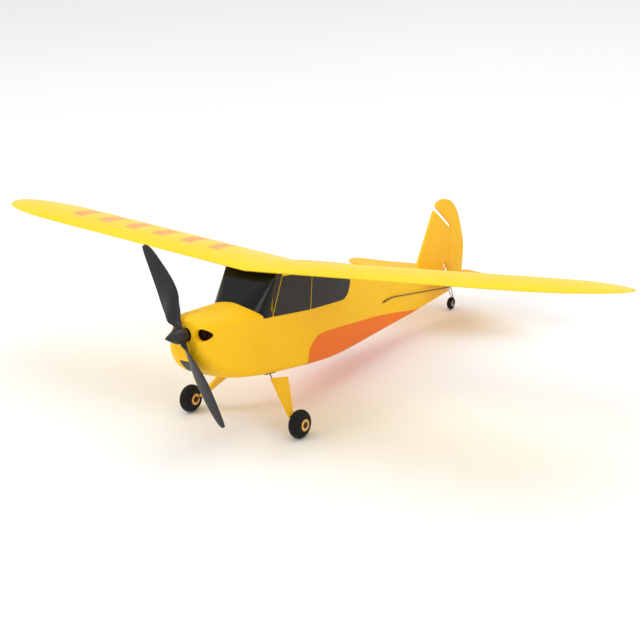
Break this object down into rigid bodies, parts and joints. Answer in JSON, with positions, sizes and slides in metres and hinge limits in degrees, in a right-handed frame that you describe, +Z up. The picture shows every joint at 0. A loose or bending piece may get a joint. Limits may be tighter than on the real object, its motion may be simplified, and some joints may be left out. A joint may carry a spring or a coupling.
{
  "type": "radio-controlled foam airplane",
  "caption": "Small high-wing radio-controlled foam airplane with a two-blade geared propeller, fixed wire landing gear, movable rudder and elevator and a battery hatch under the nose.",
  "frame": {"origin": "centre of the bounding box's base, on the ground plane the three tyres stand on", "axes": "+X towards the airplane's left (port) wing tip, +Y towards the tail, +Z up"},
  "size_m": [0.5152, 0.3625, 0.1353],
  "materials": {
    "wing_foam": "moulded bead foam, matte",
    "yellow_foam": "moulded bead foam, painted, satin",
    "grey_foam": "painted foam, matte",
    "black_film": "printed film, satin",
    "orange_film": "printed film, satin",
    "black_plastic": "moulded plastic, satin",
    "tyre_rubber": "foam rubber, matte",
    "tan_plastic": "moulded plastic, satin",
    "grey_plastic": "moulded plastic, satin",
    "white_plastic": "moulded plastic, satin",
    "steel": "ground steel",
    "black_wire": "drawn wire, dark",
    "brass": "turned",
    "magnet": "nickel plated",
    "plywood": "thin plywood",
    "foam_tape": "soft tape",
    "battery_wrap": "foil pouch",
    "circuit_board": "coated board"
  },
  "bodies": {
    "airframe": {"battery": "battery_wrap", "battery_pad": "foam_tape", "battery_tray": "plywood", "board_tape": "foam_tape", "fin": "yellow_foam", "firewall": "plywood", "fuselage_left": "yellow_foam", "fuselage_right": "yellow_foam", "gear_mount_plate": "black_plastic", "gearbox_frame": "black_plastic", "gearbox_screws": "steel", "left_corner_film": "black_film", "left_front_window": "black_film", "left_gear_fairing": "yellow_foam", "left_rear_window": "black_film", "left_servo_frame": "black_plastic", "left_servo_motor": "steel", "left_side_stripe": "orange_film", "main_gear_wire": "black_wire", "motor_can": "steel", "motor_end_cap": "black_plastic", "nose_magnet": "magnet", "receiver_board": "circuit_board", "right_corner_film": "black_film", "right_front_window": "black_film", "right_gear_fairing": "yellow_foam", "right_rear_window": "black_film", "right_servo_frame": "black_plastic", "right_servo_motor": "steel", "right_side_stripe": "orange_film", "shaft_bushes": "brass", "stabilizer": "yellow_foam", "wheel_collars": "black_plastic", "windscreen": "black_film", "wing": "wing_foam"},
    "propeller": {"propeller": "black_plastic", "spinner": "black_plastic", "prop_shaft": "steel", "spur_gear": "white_plastic", "shaft_collar": "steel"},
    "motor_rotor": {"motor_armature": "steel", "motor_pinion": "brass"},
    "left_wheel": {"left_tyre": "tyre_rubber", "left_hub": "tan_plastic"},
    "right_wheel": {"right_tyre": "tyre_rubber", "right_hub": "tan_plastic"},
    "rudder": {"rudder": "yellow_foam", "rudder_horn": "white_plastic", "tail_gear_wire": "black_wire", "tail_collar": "black_plastic"},
    "tail_wheel": {"tail_tyre": "tyre_rubber", "tail_hub": "grey_plastic"},
    "elevator": {"elevator": "yellow_foam", "elevator_horn": "white_plastic"},
    "elevator_link": {"elevator_pushrod": "black_wire", "left_servo_slider": "grey_plastic"},
    "rudder_link": {"rudder_pushrod": "black_wire", "right_servo_slider": "grey_plastic"},
    "battery_hatch": {"battery_hatch": "grey_foam", "hatch_magnet": "magnet"}
  },
  "joints": [
    {"name": "propeller_spin", "type": "hinge", "parent": "airframe", "child": "propeller", "pos_m": [0, -0.16686, 0.08218], "axis": [0, 0.985, -0.1726], "continuous": true},
    {"name": "motor_spin", "type": "hinge", "parent": "airframe", "child": "motor_rotor", "pos_m": [0, -0.14413, 0.06708], "axis": [0, 0.985, -0.1726], "continuous": true},
    {"name": "left_wheel_spin", "type": "hinge", "parent": "airframe", "child": "left_wheel", "pos_m": [0.0476, -0.1101, 0.0098], "axis": [1, 0, 0], "continuous": true},
    {"name": "right_wheel_spin", "type": "hinge", "parent": "airframe", "child": "right_wheel", "pos_m": [-0.0476, -0.1101, 0.0098], "axis": [1, 0, 0], "continuous": true},
    {"name": "rudder_hinge", "type": "hinge", "parent": "airframe", "child": "rudder", "pos_m": [0, 0.15967, 0.04526], "axis": [0, 0.1726, 0.985], "range_deg": [-22, 22]},
    {"name": "tail_wheel_spin", "type": "hinge", "parent": "rudder", "child": "tail_wheel", "pos_m": [0, 0.16177, 0.0051], "axis": [1, 0, 0], "continuous": true},
    {"name": "elevator_hinge", "type": "hinge", "parent": "airframe", "child": "elevator", "pos_m": [0, 0.14488, 0.03618], "axis": [1, 0, 0], "range_deg": [-18, 18]},
    {"name": "elevator_rod_slide", "type": "slide", "parent": "airframe", "child": "elevator_link", "axis": [-0.0545, 0.9769, -0.2066], "range_m": [-0.004, 0.004]},
    {"name": "rudder_rod_slide", "type": "slide", "parent": "airframe", "child": "rudder_link", "axis": [0.0553, 0.976, -0.2107], "range_m": [-0.004, 0.004]},
    {"name": "hatch_hinge", "type": "hinge", "parent": "airframe", "child": "battery_hatch", "pos_m": [0, -0.11531, 0.04036], "axis": [1, 0, 0], "range_deg": [0, 60]}
  ],
  "couplings": [
    {"joint": "motor_spin", "follows": "propeller_spin", "ratio": -7.1111},
    {"joint": "elevator_rod_slide", "follows": "elevator_hinge", "m_per_rad": 0.0105},
    {"joint": "rudder_rod_slide", "follows": "rudder_hinge", "m_per_rad": -0.0096}
  ]
}
